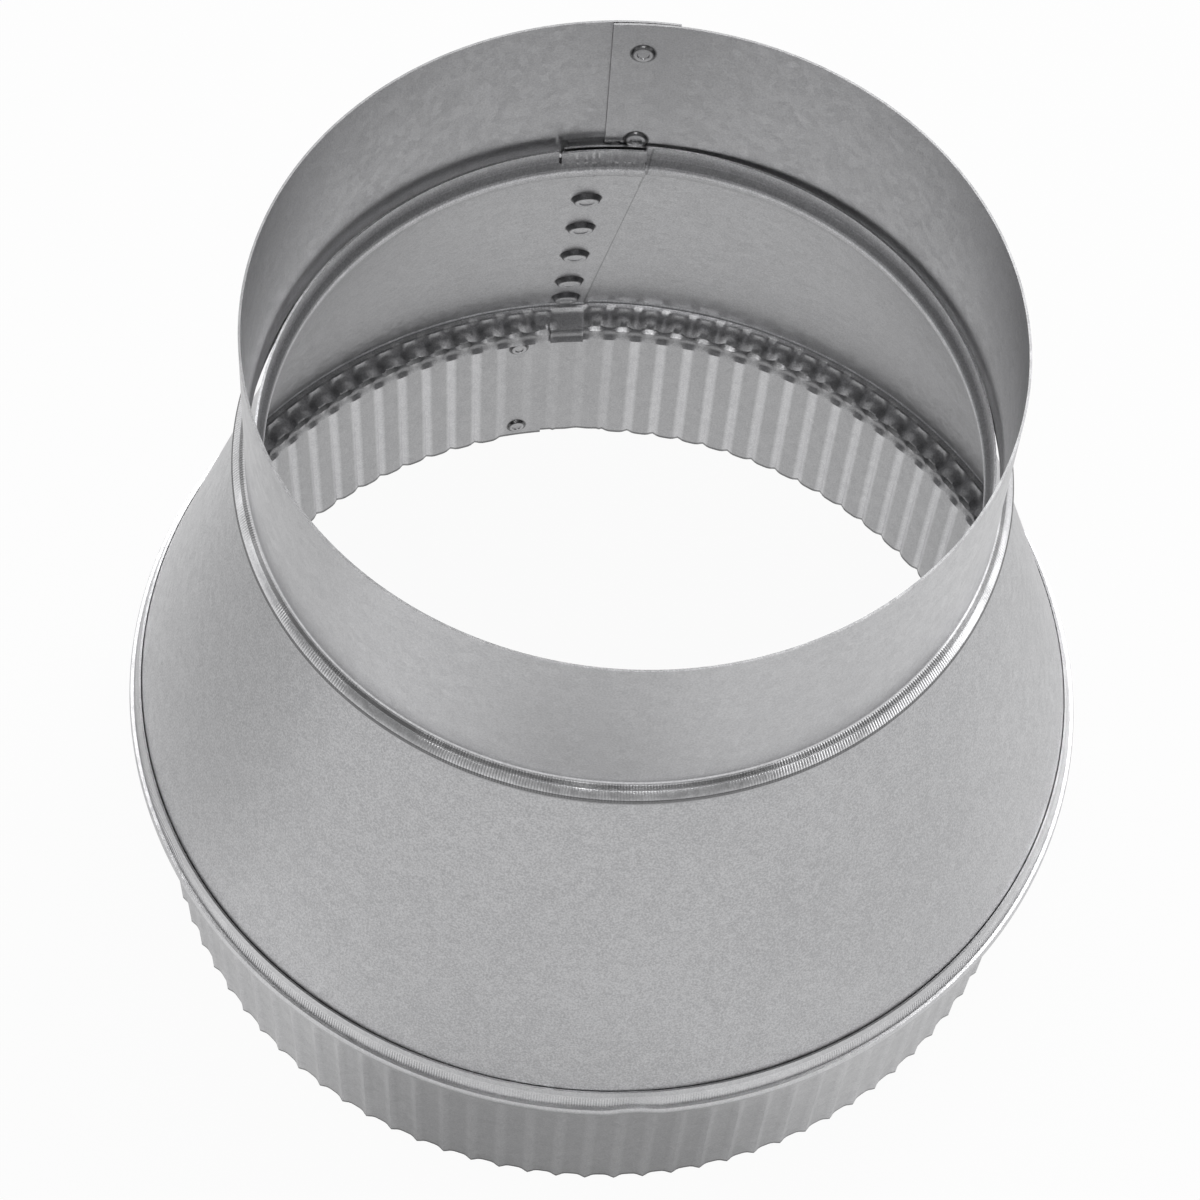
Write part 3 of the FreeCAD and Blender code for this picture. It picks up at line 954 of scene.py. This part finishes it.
bpy.ops.object.camera_add()
camera = bpy.context.object
camera.data.lens = 114
camera.data.sensor_width = 36
camera.data.clip_start = 0.01
elevation = math.radians(54.5)
distance = 0.7375
base = Matrix.Translation((0, -distance * math.cos(elevation), rim_height + distance * math.sin(elevation)))
aim = Matrix.Rotation(math.pi / 2 - elevation, 4, "X")
pan = Matrix.Rotation(math.radians(0.16), 4, "Y")
tilt = Matrix.Rotation(math.radians(-4.12), 4, "X")
swing = Matrix.Rotation(math.radians(5.43), 4, "Z")
camera.matrix_world = base @ aim @ pan @ tilt @ swing
bpy.context.scene.camera = camera

bpy.ops.mesh.primitive_plane_add(size=8)
floor = bpy.context.object
floor.name = "floor"
table_tone = (0.82, 0.82, 0.82, 1)
mirrored_glow = 0.68
glow_share = 0.95
table = bpy.data.materials.new("pale table")
table.use_nodes = True
tree = table.node_tree
paint = tree.nodes["Principled BSDF"]
paint.inputs["Base Color"].default_value = table_tone
paint.inputs["Roughness"].default_value = 0.8
glow = tree.nodes.new("ShaderNodeEmission")
rays = tree.nodes.new("ShaderNodeLightPath")
# As the metal mirrors it, the table's glow carries a painted shadow of the reducer at the front, painted
# shade farther left, and painted light where light would fall past either side.
ground = tree.nodes.new("ShaderNodeTexCoord")
painted_glow_share = None
for middle, core, edge, factor in (((0, -0.12, 0), 0.03, 0.085, 0.25), ((-0.28, 0, 0), 0.06, 0.17, 0.1),
                                   ((-0.13, -0.11, 0), 0.02, 0.08, 1.3), ((0.16, 0, 0), 0.02, 0.08, 1.25)):
    away = tree.nodes.new("ShaderNodeVectorMath")
    away.operation = "DISTANCE"
    away.inputs[1].default_value = middle
    tree.links.new(ground.outputs["Object"], away.inputs[0])
    painted_patch = tree.nodes.new("ShaderNodeMapRange")
    painted_patch.interpolation_type = "SMOOTHSTEP"
    painted_patch.inputs["From Min"].default_value = core
    painted_patch.inputs["From Max"].default_value = edge
    painted_patch.inputs["To Min"].default_value = factor
    painted_patch.inputs["To Max"].default_value = 1
    tree.links.new(away.outputs["Value"], painted_patch.inputs["Value"])
    shaded = tree.nodes.new("ShaderNodeMath")
    shaded.operation = "MULTIPLY"
    shaded.inputs[1].default_value = mirrored_glow
    tree.links.new(painted_patch.outputs["Result"], shaded.inputs[0])
    if painted_glow_share:
        tree.links.new(painted_glow_share, shaded.inputs[1])
    painted_glow_share = shaded.outputs["Value"]
mirrored = tree.nodes.new("ShaderNodeMath")
mirrored.operation = "MULTIPLY_ADD"
tree.links.new(painted_glow_share, mirrored.inputs[1])
tree.links.new(rays.outputs["Is Glossy Ray"], mirrored.inputs[0])
tree.links.new(rays.outputs["Is Camera Ray"], mirrored.inputs[2])
through = tree.nodes.new("ShaderNodeMath")
tree.links.new(mirrored.outputs["Value"], through.inputs[0])
tree.links.new(rays.outputs["Is Transmission Ray"], through.inputs[1])
seen = tree.nodes.new("ShaderNodeMath")
seen.operation = "MULTIPLY"
seen.inputs[1].default_value = glow_share
tree.links.new(through.outputs["Value"], seen.inputs[0])
blend = tree.nodes.new("ShaderNodeMixShader")
tree.links.new(seen.outputs["Value"], blend.inputs[0])
tree.links.new(paint.outputs["BSDF"], blend.inputs[1])
tree.links.new(glow.outputs["Emission"], blend.inputs[2])
tree.links.new(blend.outputs["Shader"], tree.nodes["Material Output"].inputs["Surface"])
floor.data.materials.append(table)

lamps = (
    ("lamp behind on the right", (0.55, 0.85, 1.4), 0.9, 0.9, 9),
    ("lamp straight behind", (-0.2, 1, 1.4), 0.8, 0.8, 4),
    ("low lamp on the right", (1.6, 0.2, 0.6), 0.8, 0.8, 3.5),
    ("low lamp on the left", (-1.32, 0.53, 0.93), 0.8, 0.8, 2.5),
    ("lamp over the camera", (-0.05, -0.72, 1.5), 0.5, 0.5, 3),
)
for name, place, width, length, power in lamps:
    bpy.ops.object.light_add(type="AREA", location=place)
    lamp = bpy.context.object
    lamp.name = name
    lamp.data.shape = "RECTANGLE"
    lamp.data.size = width
    lamp.data.size_y = length
    lamp.data.energy = power
    lamp.rotation_euler = Vector(place).to_track_quat("Z", "Y").to_euler()

bpy.context.scene.view_settings.view_transform = "Standard"
world = bpy.data.worlds.new("studio")
bpy.context.scene.world = world
world.use_nodes = True
tree = world.node_tree
way = tree.nodes.new("ShaderNodeTexCoord")
upwards = tree.nodes.new("ShaderNodeSeparateXYZ")
tree.links.new(way.outputs["Generated"], upwards.inputs["Vector"])
ceiling = tree.nodes.new("ShaderNodeMapRange")
ceiling.inputs["From Min"].default_value = 0.12
ceiling.inputs["From Max"].default_value = 0.42
ceiling.inputs["To Min"].default_value = 1
ceiling.inputs["To Max"].default_value = 0.22
tree.links.new(upwards.outputs["Z"], ceiling.inputs["Value"])
tree.links.new(ceiling.outputs["Result"], tree.nodes["Background"].inputs["Color"])
